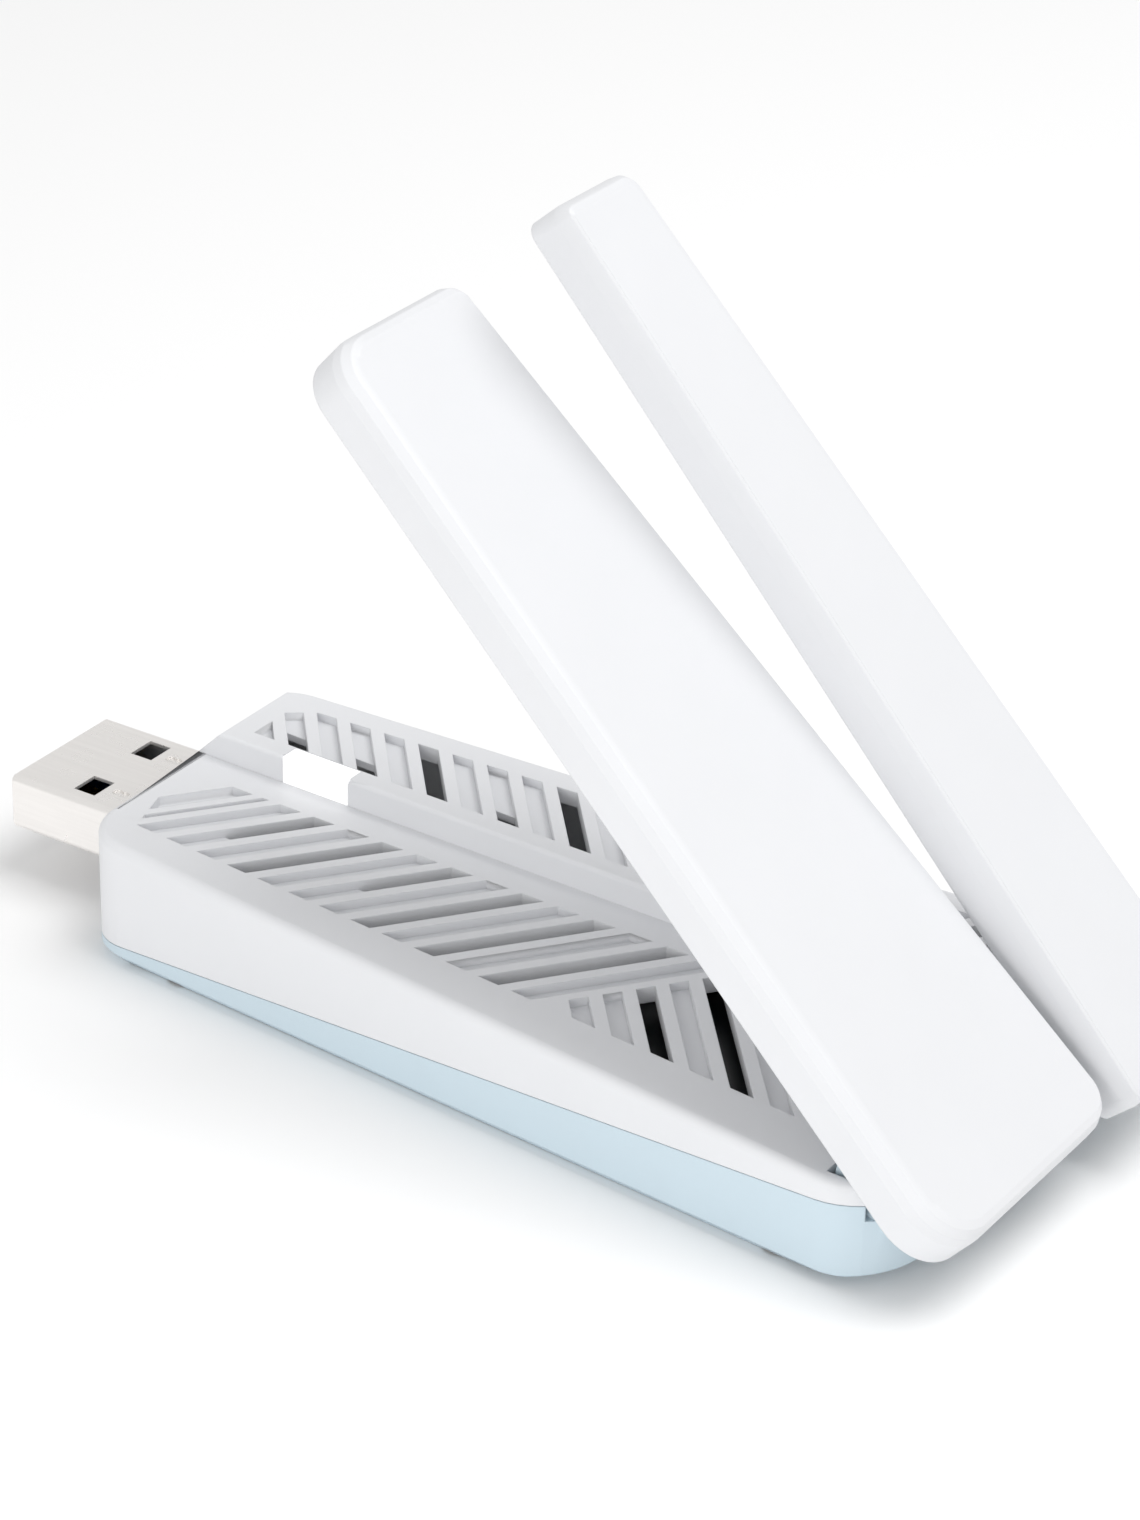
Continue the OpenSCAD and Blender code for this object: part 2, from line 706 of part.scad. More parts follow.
module far_body_coax() {
    in_frame() color([0.16, 0.16, 0.17]) lead(far_route, coax_r);
}

// Hinge pieces held by the case
module near_hinge_pin() {
    in_frame() color([0.62, 0.63, 0.65]) bar(near_lug_a, near_knuckle_a + near_knuckle_w - near_lug_a, pin_r);
}
module far_hinge_pin() {
    in_frame() color([0.62, 0.63, 0.65]) bar(far_knuckle_b, far_lug_b + lug_t - far_knuckle_b, pin_r);
}
module bush(y, w) {
    difference() {
        bar(y, w, bush_r);
        bar(y - eps, w + 2 * eps, bush_bore_r);
    }
}
module near_cable_bush() {
    in_frame() color([0.66, 0.6, 0.42])
        bush(near_knuckle_b - bush_over, near_lug_b + lug_t - near_knuckle_b + 2 * bush_over);
}
module far_cable_bush() {
    in_frame() color([0.66, 0.6, 0.42])
        bush(far_lug_a - bush_over, far_knuckle_a + far_knuckle_w - far_lug_a + 2 * bush_over);
}
module washer(y, r) {
    difference() {
        bar(y, washer_t, barrel_r - 0.2);
        bar(y - eps, washer_t + 2 * eps, r + fit);
    }
}
module hinge_washers() {
    in_frame() color([0.7, 0.71, 0.72]) {
        washer(near_lug_a + lug_t + fit / 2, pin_r);
        washer(near_lug_b - washer_t - fit / 2, bush_r);
        washer(far_lug_a + lug_t + fit / 2, bush_r);
        washer(far_lug_b - washer_t - fit / 2, pin_r);
    }
}

// Antennas, drawn closed about the hinge axis and then turned open. side is -1 near, 1 far
plate_t = 1;
board_inset = 1.8;
crisp = 0.2;                // split edge's softness as a share of the outer edge's
end_soft = 0.7;
split_clear = 0.2;
function lift(side) = side < 0 ? near_lift : far_lift;
function split_y(side, x) = step_y(axis_x + x) - split_clear + (side < 0 ? 0 : antenna_split_gap);
near_corners = [3.6, 4.2, 2.8, 1.8];
far_corners = [1.8, 2.4, 1.2, 1.2];
module antenna_plan(side, out, split, end) {
    xa = end - antenna_reach;
    xb = antenna_tail - end;
    r = side < 0 ? near_corners : far_corners;
    rounded([[xa, side * (half_w(axis_x + xa) - out)], [xb, side * (half_w(axis_x + xb) - out)],
             [xb, split_y(side, xb) + side * split], [xa, split_y(side, xa) + side * split]],
            [for (v = r) max(v - end, 0.3)]);
}
module antenna_outside(side) {
    top = lift(side) + antenna_t;
    hull() {
        translate([0, 0, lift(side)]) linear_extrude(eps) antenna_plan(side, 0, 0, 0);
        for (a = [0 : 30 : 90], i = soft_edge * (1 - cos(a)))
            translate([0, 0, top - soft_edge * (1 - sin(a)) - eps]) linear_extrude(eps)
                antenna_plan(side, i, crisp * i, end_soft * i);
    }
}
module pose(side) {
    translate([axis_x, 0, axis_z]) rotate([0, side < 0 ? near_open : far_open, 0]) children();
}
module outer_cover(side) {
    difference() {
        antenna_outside(side);
        translate([0, 0, lift(side) - 1]) linear_extrude(1 + antenna_t - skin)
            antenna_plan(side, skin, skin, skin);
        if (side < 0) rotate([-90, 0, 0]) cylinder(r = coax_r + free, h = far_out);
    }
}
// Round bar about the hinge axis in an antenna's own frame
module axle(y, w, r) {
    translate([0, y, 0]) rotate([-90, 0, 0]) cylinder(r = r, h = w);
}
knuckle_foot = 3.2;
housing_t = 0.6;            // wall of the near antenna's housing over the hinge
module knuckle(side, y, w) {
    axle(y, w, barrel_r);
    h = lift(side) < trough_r ? trough_r + housing_t / 2 : lift(side) + plate_t / 2;
    translate([-knuckle_foot / 2, y + fit, barrel_r / 4]) cube([knuckle_foot, w - 2 * fit, h - barrel_r / 4]);
}
turn_gap = 0.1;             // from the bush to the lead where it turns
near_lead_turn = near_knuckle_b - bush_over - coax_r - turn_gap;
far_lead_turn = far_knuckle_a + far_knuckle_w + bush_over + coax_r + turn_gap;
antenna_lead = 8;           // length of the lead along an antenna
function antenna_board_z(side) = lift(side) + plate_t;
function antenna_route(side) =
    let (y = side < 0 ? near_lead_turn : far_lead_turn, z = antenna_board_z(side) + antenna_board_t + coax_r,
         meet = side < 0 ? near_meet - meet_gap : far_meet + meet_gap)
    [[0, meet, 0], [0, y, 0], [0, y, z], [-antenna_lead, y, z]];
module inner_cover(side) {
    difference() {
        union() {
            translate([0, 0, lift(side)]) linear_extrude(plate_t)
                antenna_plan(side, skin + fit, skin + fit, skin + fit);
            if (side < 0) intersection() {
                axle(rest_gap - trough_half, trough_half + near_lug_b + lug_t - rest_gap + 2 * fit,
                     trough_r + housing_t);
                translate([-far_out, -far_out, near_lift]) cube(2 * far_out);
            }
        }
        if (side < 0) axle(-trough_half - 1, trough_half + near_lead_y + 1, trough_r);
        lead(antenna_route(side), coax_r + lead_clear);
        if (side < 0) axle(0, far_out, coax_r + free);
    }
    w = side < 0 ? near_knuckle_w : far_knuckle_w;
    pin_y = side < 0 ? near_knuckle_a : far_knuckle_b;
    bush_y = side < 0 ? near_knuckle_b : far_knuckle_a;
    difference() {
        union() {
            knuckle(side, pin_y, w);
            knuckle(side, bush_y, w);
        }
        axle(pin_y - 1, w + 2, pin_r + run);
        axle(bush_y - fit, w + 2 * fit, bush_r + run);
    }
}
module antenna_board(side) {
    xa = board_inset + 1 - antenna_reach;
    xb = side < 0 ? -4.8 : -3.6;
    translate([0, 0, antenna_board_z(side)]) linear_extrude(antenna_board_t)
        polygon([[xa, side * (half_w(axis_x + xa) - board_inset)],
                 [xb, side * (half_w(axis_x + xb) - board_inset)],
                 [xb, split_y(side, xb) + side * board_inset],
                 [xa, split_y(side, xa) + side * board_inset]]);
}
copper_t = 0.1;
copper_w = 1.2;
copper_pad = [4.6, copper_w, copper_t];
copper_arm = [16, copper_w, copper_t];
feed_x = -16.5;             // feed bar across the antenna
feed_w = 2;
arm_x = [-34, -54];
module antenna_copper(side) {
    z = antenna_board_z(side) + antenna_board_t;
    lead_y = side < 0 ? near_lead_turn : far_lead_turn;
    mid_y = (split_y(side, feed_x) + side * half_w(axis_x + feed_x)) / 2;
    half = side < 0 ? 4 : 1.1;
    low_y = min(lead_y - copper_w / 2, mid_y - half);
    high_y = max(lead_y + copper_w / 2, mid_y + half);
    translate([feed_x + feed_w + 0.5, lead_y - copper_w / 2, z]) cube(copper_pad);
    translate([feed_x, low_y, z]) cube([feed_w, high_y - low_y, copper_t]);
    for (x = arm_x, y = [mid_y - half, mid_y + half - copper_w]) translate([x, y, z]) cube(copper_arm);
}

module near_outer_cover() {
    in_frame() color([0.96, 0.97, 0.98]) pose(-1) outer_cover(-1);
}
module near_inner_cover() {
    in_frame() color([0.94, 0.95, 0.96]) pose(-1) inner_cover(-1);
}
module near_antenna_board() {
    in_frame() color([0.1, 0.28, 0.16]) pose(-1) antenna_board(-1);
}
module near_antenna_copper() {
    in_frame() color([0.75, 0.48, 0.3]) pose(-1) antenna_copper(-1);
}
module near_antenna_coax() {
    in_frame() color([0.16, 0.16, 0.17]) pose(-1) lead(antenna_route(-1), coax_r);
}
module far_outer_cover() {
    in_frame() color([0.96, 0.97, 0.98]) pose(1) outer_cover(1);
}
module far_inner_cover() {
    in_frame() color([0.94, 0.95, 0.96]) pose(1) inner_cover(1);
}
module far_antenna_board() {
    in_frame() color([0.1, 0.28, 0.16]) pose(1) antenna_board(1);
}
module far_antenna_copper() {
    in_frame() color([0.75, 0.48, 0.3]) pose(1) antenna_copper(1);
}
module far_antenna_coax() {
    in_frame() color([0.16, 0.16, 0.17]) pose(1) lead(antenna_route(1), coax_r);
}

upper_shell();
lower_shell();
status_light_lens();
status_led();
shell_screws();
usb_plug_shell();
usb_tongue();
usb_contacts();
main_board();
wifi_chip();
radio_amplifiers();
crystal();
shield_can();
power_inductor();
board_capacitors();
coax_sockets();
thermal_pad();
heat_spreader();
near_body_coax();
far_body_coax();
near_hinge_pin();
far_hinge_pin();
near_cable_bush();
far_cable_bush();
hinge_washers();
near_outer_cover();
near_inner_cover();
near_antenna_board();
near_antenna_copper();
near_antenna_coax();
far_outer_cover();
far_inner_cover();
far_antenna_board();
far_antenna_copper();
far_antenna_coax();
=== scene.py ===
"""USB wireless adapter with two folding antennas: stage, finishes and detailed pieces on the CAD frame."""

import math

import bmesh
import bpy
from mathutils import Matrix, Vector


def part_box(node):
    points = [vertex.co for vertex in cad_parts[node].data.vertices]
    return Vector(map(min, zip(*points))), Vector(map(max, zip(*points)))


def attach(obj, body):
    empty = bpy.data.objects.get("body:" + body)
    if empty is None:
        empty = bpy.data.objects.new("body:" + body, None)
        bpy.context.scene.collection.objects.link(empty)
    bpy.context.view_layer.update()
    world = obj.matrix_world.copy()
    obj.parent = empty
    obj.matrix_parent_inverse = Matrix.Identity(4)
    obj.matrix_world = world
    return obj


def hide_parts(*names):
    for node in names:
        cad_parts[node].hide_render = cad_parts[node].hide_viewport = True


bl_info = {
    "name": "USB wireless adapter",
    "version": (1, 0, 0),
    "blender": (4, 5, 0),
    "location": "3D View > Sidebar > Adapter",
    "description": "Finishes and detailed pieces of a USB wireless adapter with two folding antennas",
    "category": "Object",
}

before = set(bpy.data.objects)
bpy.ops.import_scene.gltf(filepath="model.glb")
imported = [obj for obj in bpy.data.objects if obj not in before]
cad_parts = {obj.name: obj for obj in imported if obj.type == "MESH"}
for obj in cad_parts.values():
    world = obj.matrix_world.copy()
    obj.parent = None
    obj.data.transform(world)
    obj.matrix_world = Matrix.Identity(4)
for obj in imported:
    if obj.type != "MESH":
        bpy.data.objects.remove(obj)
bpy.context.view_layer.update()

# Stage
FLOOR_HALF = 6
FLOOR_DROP = 0.00003
FLOOR_WHITE = 0.97
CAMERA_PLACE = (0.1648, -0.2549, 0.1856)
CAMERA_RIGHT = (0.8327, 0.5536, 0.0183)
CAMERA_AHEAD = (-0.4805, 0.7384, -0.4732)
LAMP_TARGET = (0, 0, 0.02)
# Name, place, size and share of the key light's power
LAMPS = (
    ("overhead softbox", (0.20, 0.09, 0.53), 0.4, 1.0),
    ("low front fill", (0.02, -0.24, 0.05), 0.16, 0.11),
)

# Finishes
BUMP_DEPTH = 0.00002
BEVEL_SAMPLES = 6
PLASTIC_EDGE = 0.00015
METAL_EDGE = 0.0001

# Forms
MERGE_DISTANCE = 1e-7
FLAT_ANGLE = math.radians(0.4)
CASE_SMOOTH_ANGLE = math.radians(28)
COVER_SMOOTH_ANGLE = math.radians(24)
SAME_FACING = 0.999
WALL_LEAN = 0.05
RIM_BAND = 0.0012
PLUG_END_BAND = 0.0046
PLUG_CORNER_BAND = 0.006
STEP_EDGE_LENGTH = 0.004
LIP_RADIUS = 0.00009
LIP_BAND = 1e-5


# ---------------------------------------------------------------- settings


def colour(name, description, default):
    return bpy.props.FloatVectorProperty(
        name=name,
        description=description,
        default=default,
        size=3,
        min=0.0,
        max=1.0,
        subtype="COLOR",
    )


def length(name, description, default, low, high):
    return bpy.props.FloatProperty(
        name=name,
        description=description,
        default=default,
        min=low,
        max=high,
        unit="LENGTH",
        subtype="DISTANCE",
        precision=5,
    )


class AdapterColours(bpy.types.PropertyGroup):
    shell_white: colour("Upper shell", "Plastic of the upper shell and the antennas", (0.765, 0.772, 0.79))
    shell_blue: colour("Lower shell", "Moulded plastic of the lower shell", (0.58, 0.69, 0.755))
    light_guide: colour("Light guide", "Milky diffuser on the step", (0.97, 0.97, 0.97))
    plug_metal: colour("Plug", "Nickel of the plug", (0.90, 0.875, 0.85))
    insulator: colour("Insulator", "Moulded tongue and insulator of the plug", (0.010, 0.030, 0.085))


class AdapterSizes(bpy.types.PropertyGroup):
    rim_radius: length("Rim radius", "Rounding of the upper shell's top rim", 0.0007, 0.0001, 0.001)
    step_radius: length("Step radius", "Rounding along the step", 0.00035, 0.0001, 0.0006)
    edge_softness: length("Edge softness", "Rounding of the small moulded edges", 0.00012, 0.00002, 0.0003)


class AdapterStage(bpy.types.PropertyGroup):
    focal_length: bpy.props.FloatProperty(
        name="Focal length",
        description="Focal length of the camera",
        default=113.7,
        min=40,
        max=200,
        unit="CAMERA",
    )
    key_power: bpy.props.FloatProperty(
        name="Key light",
        description="Power of the soft light above",
        default=1.65,
        min=0.1,
        max=20,
        unit="POWER",
    )
    room_level: bpy.props.FloatProperty(
        name="Room level",
        description="Strength of the white surroundings",
        default=0.66,
        min=0.0,
        max=2.0,
    )


def settings():
    return bpy.context.scene.adapter_colours, bpy.context.scene.adapter_sizes, bpy.context.scene.adapter_stage


# ---------------------------------------------------------------- shared shader effects


def group_with(name, inputs, outputs):
    group = bpy.data.node_groups.new(name, "ShaderNodeTree")
    for label, kind, default in inputs:
        socket = group.interface.new_socket(name=label, in_out="INPUT", socket_type=kind)
        socket.default_value = default
    for label, kind in outputs:
        group.interface.new_socket(name=label, in_out="OUTPUT", socket_type=kind)
    return group, group.nodes.new("NodeGroupInput"), group.nodes.new("NodeGroupOutput")


def math_node(nodes, operation, a=0.0, b=0.0):
    node = nodes.new("ShaderNodeMath")
    node.operation = operation
    node.inputs[0].default_value = a
    node.inputs[1].default_value = b
    return node


def moulded_grain():
    """Fine mould texture: a height, a roughness that wanders a little, and soft mottling of the colour."""
    if "Moulded Grain" in bpy.data.node_groups:
        return bpy.data.node_groups["Moulded Grain"]
    group, given, result = group_with(
        "Moulded Grain",
        [
            ("Color", "NodeSocketColor", (0.8, 0.8, 0.8, 1)),
            ("Roughness", "NodeSocketFloat", 0.4),
            ("Grain Scale", "NodeSocketFloat", 6000.0),
            ("Mottle", "NodeSocketFloat", 0.03),
        ],
        [("Color", "NodeSocketColor"), ("Roughness", "NodeSocketFloat"), ("Height", "NodeSocketFloat")],
    )
    nodes, links = group.nodes, group.links
    place = nodes.new("ShaderNodeTexCoord")
    grain = nodes.new("ShaderNodeTexNoise")
    grain.inputs["Detail"].default_value = 3
    grain.inputs["Roughness"].default_value = 0.6
    links.new(place.outputs["Object"], grain.inputs["Vector"])
    links.new(given.outputs["Grain Scale"], grain.inputs["Scale"])
    cloud = nodes.new("ShaderNodeTexNoise")
    cloud.inputs["Scale"].default_value = 160
    cloud.inputs["Detail"].default_value = 2
    links.new(place.outputs["Object"], cloud.inputs["Vector"])
    centred = math_node(nodes, "SUBTRACT", b=0.5)
    links.new(cloud.outputs["Fac"], centred.inputs[0])
    drift = math_node(nodes, "MULTIPLY")
    links.new(centred.outputs[0], drift.inputs[0])
    links.new(given.outputs["Mottle"], drift.inputs[1])
    value = math_node(nodes, "ADD", b=1.0)
    links.new(drift.outputs[0], value.inputs[0])
    tint = nodes.new("ShaderNodeVectorMath")
    tint.operation = "SCALE"
    links.new(given.outputs["Color"], tint.inputs[0])
    links.new(value.outputs[0], tint.inputs["Scale"])
    links.new(tint.outputs[0], result.inputs["Color"])
    rough = math_node(nodes, "ADD")
    links.new(drift.outputs[0], rough.inputs[0])
    links.new(given.outputs["Roughness"], rough.inputs[1])
    links.new(rough.outputs[0], result.inputs["Roughness"])
    links.new(grain.outputs["Fac"], result.inputs["Height"])
    return group


def drawn_metal():
    """Lines left by rolling or drawing, along X, as a height, a roughness and a slight change of colour."""
    if "Drawn Metal" in bpy.data.node_groups:
        return bpy.data.node_groups["Drawn Metal"]
    group, given, result = group_with(
        "Drawn Metal",
        [
            ("Color", "NodeSocketColor", (0.7, 0.7, 0.7, 1)),
            ("Roughness", "NodeSocketFloat", 0.25),
            ("Line Scale", "NodeSocketFloat", 3000.0),
        ],
        [("Color", "NodeSocketColor"), ("Roughness", "NodeSocketFloat"), ("Height", "NodeSocketFloat")],
    )
    nodes, links = group.nodes, group.links
    place = nodes.new("ShaderNodeTexCoord")
    stretch = nodes.new("ShaderNodeMapping")
    stretch.inputs["Scale"].default_value = (0.04, 1.0, 1.0)
    links.new(place.outputs["Object"], stretch.inputs["Vector"])
    lines = nodes.new("ShaderNodeTexNoise")
    lines.inputs["Detail"].default_value = 4
    links.new(stretch.outputs[0], lines.inputs["Vector"])
    links.new(given.outputs["Line Scale"], lines.inputs["Scale"])
    handled = nodes.new("ShaderNodeTexNoise")
    handled.inputs["Scale"].default_value = 420
    handled.inputs["Detail"].default_value = 5
    links.new(place.outputs["Object"], handled.inputs["Vector"])
    centred = math_node(nodes, "SUBTRACT", b=0.5)
    links.new(handled.outputs["Fac"], centred.inputs[0])
    smudge = math_node(nodes, "MULTIPLY", b=0.22)
    links.new(centred.outputs[0], smudge.inputs[0])
    rough = math_node(nodes, "ADD")
    links.new(smudge.outputs[0], rough.inputs[0])
    links.new(given.outputs["Roughness"], rough.inputs[1])
    links.new(rough.outputs[0], result.inputs["Roughness"])
    shade = math_node(nodes, "MULTIPLY_ADD", b=0.12)
    shade.inputs[2].default_value = 0.94
    links.new(lines.outputs["Fac"], shade.inputs[0])
    tint = nodes.new("ShaderNodeVectorMath")
    tint.operation = "SCALE"
    links.new(given.outputs["Color"], tint.inputs[0])
    links.new(shade.outputs[0], tint.inputs["Scale"])
    links.new(tint.outputs[0], result.inputs["Color"])
    links.new(lines.outputs["Fac"], result.inputs["Height"])
    return group


def finish_material(name, effect, values, shader_values, bump, edge):
    """A Principled material fed by one effect group, with its bump and its softened edges."""
    if name in bpy.data.materials:
        return bpy.data.materials[name]
    material = bpy.data.materials.new(name)
    material.use_nodes = True
    nodes, links = material.node_tree.nodes, material.node_tree.links
    shader = nodes["Principled BSDF"]
    for label, value in shader_values.items():
        shader.inputs[label].default_value = value
    node = nodes.new("ShaderNodeGroup")
    node.node_tree = effect
    for label, value in values.items():
        node.inputs[label].default_value = value
    links.new(node.outputs["Color"], shader.inputs["Base Color"])
    links.new(node.outputs["Roughness"], shader.inputs["Roughness"])
    relief = nodes.new("ShaderNodeBump")
    relief.inputs["Strength"].default_value = bump
    relief.inputs["Distance"].default_value = BUMP_DEPTH
    links.new(node.outputs["Height"], relief.inputs["Height"])
    soft = nodes.new("ShaderNodeBevel")
    soft.samples = BEVEL_SAMPLES
    soft.inputs["Radius"].default_value = edge
    links.new(soft.outputs["Normal"], relief.inputs["Normal"])
    links.new(relief.outputs["Normal"], shader.inputs["Normal"])
    return material


def plastic(name, rgb, roughness, mottle=0.03, bump=0.12, edge=PLASTIC_EDGE, **extra):
    return finish_material(
        name,
        moulded_grain(),
        {"Color": (*rgb, 1), "Roughness": roughness, "Mottle": mottle},
        {"Specular IOR Level": 0.45, **extra},
        bump,
        edge,
    )


def metal(name, rgb, roughness, bump=0.15, metallic=1.0):
    return finish_material(
        name,
        drawn_metal(),
        {"Color": (*rgb, 1), "Roughness": roughness},
        {"Metallic": metallic},
        bump,
        METAL_EDGE,
    )


def contact_gold():
    return metal("contact gold", (0.83, 0.58, 0.22), roughness=0.2)


def dress(node_name, material):
    """Gives a CAD node its finished material."""
    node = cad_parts[node_name]
    node.data.materials.clear()
    node.data.materials.append(material)


# ---------------------------------------------------------------- detailed pieces from the CAD forms


def merged_form(node_name):
    """A bmesh of a CAD node's form with its corners joined and its flat faces whole."""
    form = bmesh.new()
    form.from_mesh(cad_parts[node_name].data)
    bmesh.ops.remove_doubles(form, verts=form.verts, dist=MERGE_DISTANCE)
    bmesh.ops.dissolve_limit(form, angle_limit=FLAT_ANGLE, verts=form.verts, edges=form.edges)
    form.normal_update()
    return form


def soften(form, chosen, radius, segments):
    """Rounds the chosen edges of a form."""
    edges = [edge for edge in form.edges if len(edge.link_faces) == 2 and chosen(edge)]
    if not edges:
        raise RuntimeError("no edge was found to round")
    bmesh.ops.bevel(
        form,
        geom=edges,
        offset=radius,
        offset_type="OFFSET",
        segments=segments,
        affect="EDGES",
        profile=0.5,
        material=-1,
        clamp_overlap=False,
    )


def finished_piece(name, form, material, body, node_name, smooth_angle=CASE_SMOOTH_ANGLE):
    """A piece made from a form: smooth where it is round, crisp where it is flat, riding on its body."""
    mesh = bpy.data.meshes.new(name)
    form.to_mesh(mesh)
    form.free()
    mesh.materials.append(material)
    piece = bpy.data.objects.new(name, mesh)
    bpy.context.scene.collection.objects.link(piece)
    mesh.shade_smooth()
    mesh.set_sharp_from_angle(angle=smooth_angle)
    even = piece.modifiers.new("Even shading", "WEIGHTED_NORMAL")
    even.keep_sharp = True
    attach(piece, body)
    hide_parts(node_name)


def white_plastic():
    colours, sizes, _ = settings()
    return plastic("shell white", colours.shell_white, roughness=0.45, edge=sizes.edge_softness)


def blue_plastic():
    colours, sizes, _ = settings()
    return plastic("shell blue", colours.shell_blue, roughness=0.45, edge=sizes.edge_softness)


# ---------------------------------------------------------------- operators


class ADAPTER_OT_stage(bpy.types.Operator):
    """Pale floor, soft studio light and the camera."""

    bl_idname = "adapter.stage"
    bl_label = "Stage"

    def execute(self, context):
        scene = context.scene
        stage = settings()[2]
        floor_form = bmesh.new()
        bmesh.ops.create_grid(floor_form, x_segments=1, y_segments=1, size=FLOOR_HALF)
        bmesh.ops.translate(floor_form, verts=floor_form.verts, vec=(0, 0, -FLOOR_DROP))
        mesh = bpy.data.meshes.new("floor")
        floor_form.to_mesh(mesh)
        floor_form.free()
        floor = bpy.data.objects.new("floor", mesh)
        floor_material = bpy.data.materials.new("pale floor")
        floor_material.use_nodes = True
        shader = floor_material.node_tree.nodes["Principled BSDF"]
        shader.inputs["Base Color"].default_value = (FLOOR_WHITE, FLOOR_WHITE, FLOOR_WHITE, 1)
        shader.inputs["Roughness"].default_value = 0.9
        shader.inputs["Specular IOR Level"].default_value = 0.1
        mesh.materials.append(floor_material)
        scene.collection.objects.link(floor)

        camera_data = bpy.data.cameras.new("camera")
        camera_data.sensor_width = 36
        camera_data.lens = stage.focal_length
        camera_data.clip_start = 0.01
        camera = bpy.data.objects.new("camera", camera_data)
        right = Vector(CAMERA_RIGHT).normalized()
        ahead = Vector(CAMERA_AHEAD).normalized()
        up = right.cross(ahead).normalized()
        right = ahead.cross(up)
        turn = Matrix((right, up, -ahead)).transposed()
        camera.matrix_world = Matrix.Translation(CAMERA_PLACE) @ turn.to_4x4()
        scene.collection.objects.link(camera)
        scene.camera = camera

        for label, place, size, share in LAMPS:
            lamp = bpy.data.lights.new(label, "AREA")
            lamp.shape = "DISK"
            lamp.size = size
            lamp.energy = stage.key_power * share
            holder = bpy.data.objects.new(label, lamp)
            holder.location = place
            towards = Vector(LAMP_TARGET) - Vector(place)
            holder.rotation_euler = towards.to_track_quat("-Z", "Y").to_euler()
            scene.collection.objects.link(holder)

        world = bpy.data.worlds.new("white room")
        world.use_nodes = True
        world.node_tree.nodes["Background"].inputs["Color"].default_value = (1, 1, 1, 1)
        world.node_tree.nodes["Background"].inputs["Strength"].default_value = stage.room_level
        scene.world = world
        scene.view_settings.view_transform = "Standard"
        return {"FINISHED"}


class ADAPTER_OT_case(bpy.types.Operator):
    """Upper and lower shells, with rounded rims."""

    bl_idname = "adapter.case"
    bl_label = "Case"

    def execute(self, context):
        sizes = settings()[1]
        form = merged_form("upper_shell")
        plug_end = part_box("upper_shell")[0].x
        widest = max(form.faces, key=lambda face: face.calc_area() if face.normal.z > 0.9 else 0)
        top = widest.normal.copy()
        side_end = max((v.co for v in form.verts), key=lambda co: abs(co.y))
        near_plug = [v.co for v in form.verts if v.co.x < plug_end + PLUG_CORNER_BAND]
        corner_end = max(near_plug, key=lambda co: abs(co.y))
        taper = (abs(side_end.y) - abs(corner_end.y)) / (side_end.x - corner_end.x)

        def is_rim(edge):
            a, b = edge.link_faces
            mid = (edge.verts[0].co + edge.verts[1].co) / 2
            flat, wall = (a, b) if a.normal.dot(top) > SAME_FACING else (b, a)
            if flat.normal.dot(top) < SAME_FACING or abs(wall.normal.z) > WALL_LEAN:
                return False
            half = abs(corner_end.y) + taper * (mid.x - corner_end.x)
            on_side = abs(mid.y) > half - RIM_BAND and mid.y * wall.normal.y > 0.5 * abs(mid.y)
            on_end = mid.x < plug_end + PLUG_END_BAND and wall.normal.x < -0.1
            return on_side or on_end

        def is_step(edge):
            a, b = edge.link_faces
            flat, wall = (a, b) if a.normal.dot(top) > SAME_FACING else (b, a)
            along_case = edge.is_convex and edge.calc_length() > STEP_EDGE_LENGTH
            on_top = flat.normal.dot(top) > SAME_FACING and edge.verts[0].co.y > 0
            return on_top and wall.normal.y < -0.9 and along_case

        soften(form, is_step, sizes.step_radius, 3)
        soften(form, is_rim, sizes.rim_radius, 4)
        finished_piece("case_top", form, white_plastic(), "case", "upper_shell")
        tray = merged_form("lower_shell")
        finished_piece("case_tray", tray, blue_plastic(), "case", "lower_shell")
        return {"FINISHED"}


class ADAPTER_OT_light(bpy.types.Operator):
    """Milky light guide on the step, and the light under it."""

    bl_idname = "adapter.light"
    bl_label = "Status light"

    def execute(self, context):
        colours = settings()[0]
        glow = {"Emission Color": (1, 1, 1, 1), "Emission Strength": 0.35}
        guide = plastic("light guide", colours.light_guide, roughness=0.22, mottle=0.02, bump=0.03, **glow)
        dress("status_light_lens", guide)
        dress("status_led", plastic("lamp package", (0.85, 0.8, 0.55), roughness=0.2))
        return {"FINISHED"}


class ADAPTER_OT_plug(bpy.types.Operator):
    """Nickel plug, its insulator and its contacts."""

    bl_idname = "adapter.plug"
    bl_label = "Plug"

    def execute(self, context):
        colours = settings()[0]
        nickel = metal("nickel", colours.plug_metal, roughness=0.3, bump=0.05, metallic=0.6)
        form = merged_form("usb_plug_shell")
        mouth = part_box("usb_plug_shell")[0].x

        def is_lip(edge):
            return all(abs(v.co.x - mouth) < LIP_BAND for v in edge.verts)

        soften(form, is_lip, LIP_RADIUS, 2)
        finished_piece("plug_case", form, nickel, "case", "usb_plug_shell")
        dress("usb_tongue", plastic("insulator blue", colours.insulator, roughness=0.35))
        dress("usb_contacts", contact_gold())
        return {"FINISHED"}


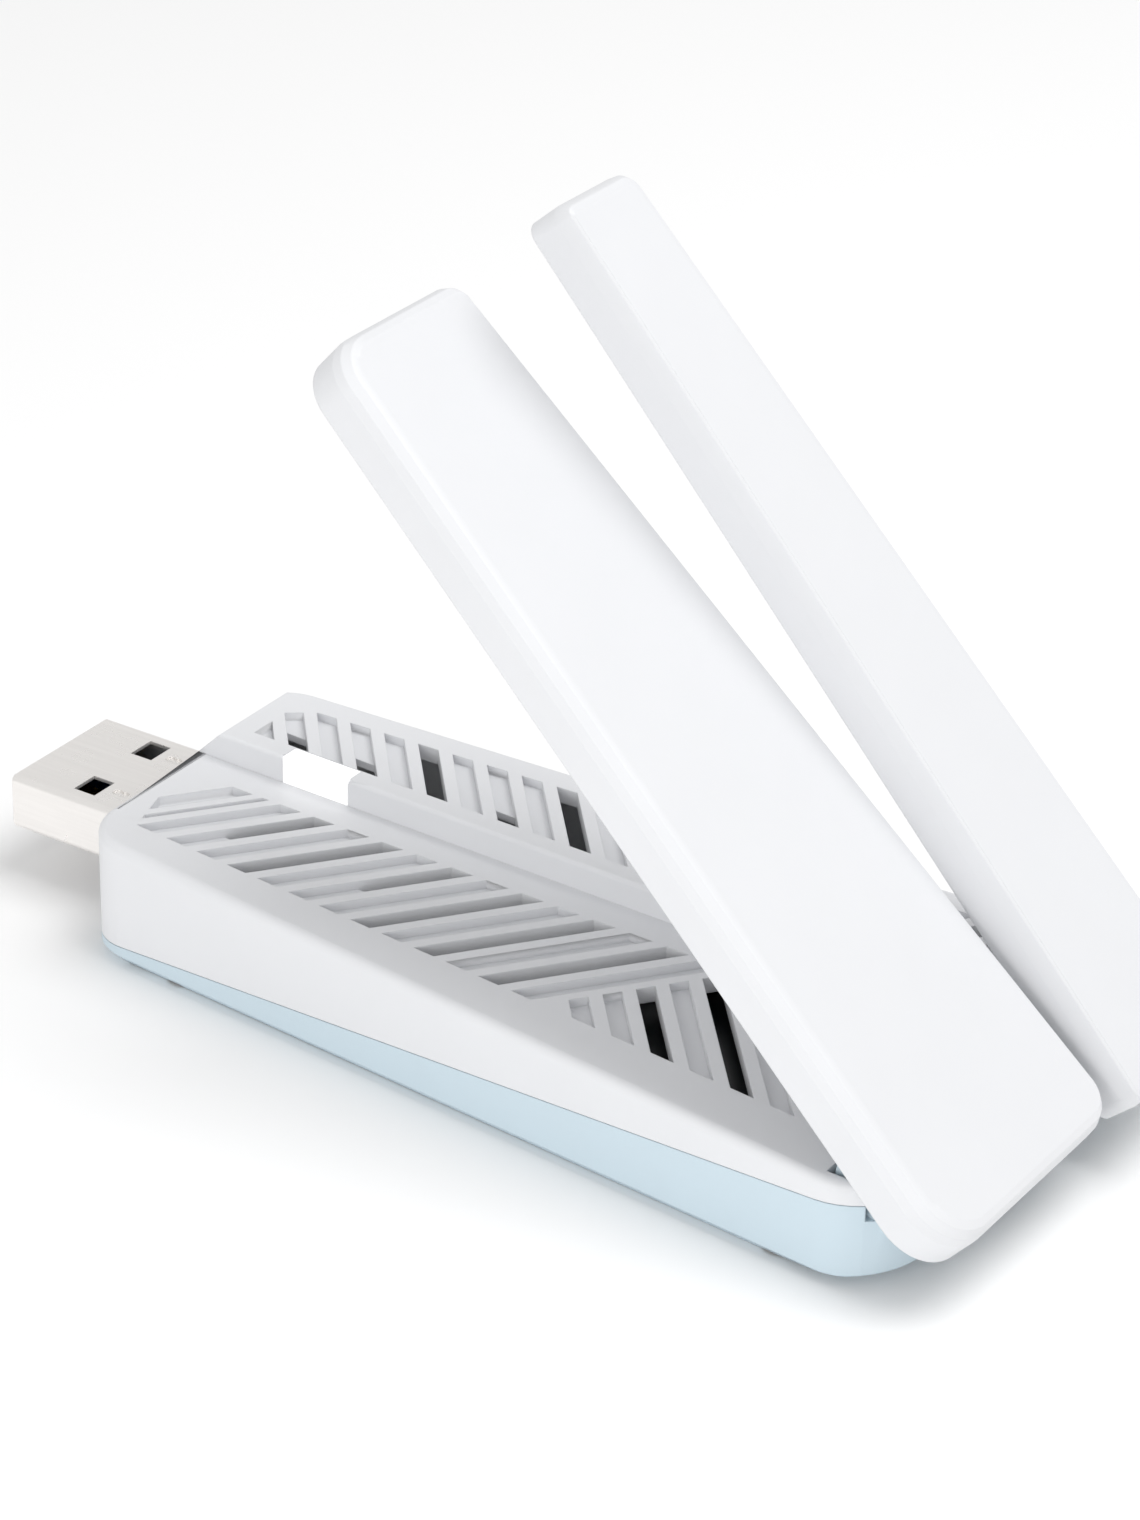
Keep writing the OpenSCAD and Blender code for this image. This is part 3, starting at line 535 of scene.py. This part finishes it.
class ADAPTER_OT_electronics(bpy.types.Operator):
    """Board, packages, can, heat spreader and leads inside the case."""

    bl_idname = "adapter.electronics"
    bl_label = "Electronics"

    def execute(self, context):
        mask = plastic("solder mask", (0.010, 0.012, 0.014), roughness=0.35, mottle=0.2)
        black = plastic("package black", (0.012, 0.012, 0.013), roughness=0.5, mottle=0.3)
        tin = metal("tin plate", (0.55, 0.55, 0.54), roughness=0.35)
        for name in ("main_board", "near_antenna_board", "far_antenna_board"):
            dress(name, mask)
        for name in ("wifi_chip", "radio_amplifiers", "power_inductor"):
            dress(name, black)
        for name in ("crystal", "shield_can"):
            dress(name, tin)
        dress("board_capacitors", plastic("capacitor ceramic", (0.25, 0.15, 0.08), roughness=0.45))
        dress("coax_sockets", contact_gold())
        dress("thermal_pad", plastic("pad grey", (0.16, 0.18, 0.24), roughness=0.8))
        dress("heat_spreader", metal("spreader aluminium", (0.72, 0.73, 0.74), roughness=0.4))
        jacket = plastic("lead jacket", (0.012, 0.012, 0.013), roughness=0.4)
        for name in ("near_body_coax", "far_body_coax", "near_antenna_coax", "far_antenna_coax"):
            dress(name, jacket)
        copper = metal("bare copper", (0.75, 0.38, 0.22), roughness=0.3)
        for name in ("near_antenna_copper", "far_antenna_copper"):
            dress(name, copper)
        return {"FINISHED"}


class ADAPTER_OT_hinges(bpy.types.Operator):
    """Pins, hollow bushes, washers and case screws."""

    bl_idname = "adapter.hinges"
    bl_label = "Hinges and screws"

    def execute(self, context):
        steel = metal("turned steel", (0.5, 0.5, 0.51), roughness=0.25)
        for name in ("near_hinge_pin", "far_hinge_pin", "hinge_washers", "shell_screws"):
            dress(name, steel)
        brass = metal("bush brass", (0.62, 0.46, 0.2), roughness=0.25)
        for name in ("near_cable_bush", "far_cable_bush"):
            dress(name, brass)
        return {"FINISHED"}


class ADAPTER_OT_antennas(bpy.types.Operator):
    """Outer and inner covers of both antennas."""

    bl_idname = "adapter.antennas"
    bl_label = "Antennas"

    def execute(self, context):
        for side in ("near", "far"):
            for part in ("outer", "inner"):
                node_name = f"{side}_{part}_cover"
                finished_piece(
                    f"{side}_antenna_{part}",
                    merged_form(node_name),
                    white_plastic(),
                    f"{side}_antenna",
                    node_name,
                    COVER_SMOOTH_ANGLE,
                )
        return {"FINISHED"}


class ADAPTER_PT_panel(bpy.types.Panel):
    """Lists the adapter's sizes, colours and steps."""

    bl_idname = "ADAPTER_PT_panel"
    bl_label = "USB wireless adapter"
    bl_space_type = "VIEW_3D"
    bl_region_type = "UI"
    bl_category = "Adapter"

    def draw(self, context):
        layout = self.layout
        for group in settings():
            box = layout.box()
            for key in group.__annotations__:
                box.prop(group, key)
        for step in STEPS:
            layout.operator(step.bl_idname)


STEPS = (
    ADAPTER_OT_stage,
    ADAPTER_OT_case,
    ADAPTER_OT_light,
    ADAPTER_OT_plug,
    ADAPTER_OT_electronics,
    ADAPTER_OT_hinges,
    ADAPTER_OT_antennas,
)
GROUPS = (AdapterColours, AdapterSizes, AdapterStage)
CLASSES = (*GROUPS, *STEPS, ADAPTER_PT_panel)


def register():
    for item in CLASSES:
        bpy.utils.register_class(item)
    bpy.types.Scene.adapter_colours = bpy.props.PointerProperty(type=AdapterColours)
    bpy.types.Scene.adapter_sizes = bpy.props.PointerProperty(type=AdapterSizes)
    bpy.types.Scene.adapter_stage = bpy.props.PointerProperty(type=AdapterStage)


def unregister():
    del bpy.types.Scene.adapter_colours
    del bpy.types.Scene.adapter_sizes
    del bpy.types.Scene.adapter_stage
    for item in reversed(CLASSES):
        bpy.utils.unregister_class(item)


def main():
    register()
    bpy.ops.adapter.stage()
    bpy.ops.adapter.case()
    bpy.ops.adapter.light()
    bpy.ops.adapter.plug()
    bpy.ops.adapter.electronics()
    bpy.ops.adapter.hinges()
    bpy.ops.adapter.antennas()
    bpy.context.view_layer.update()


if __name__ == "__main__":
    main()
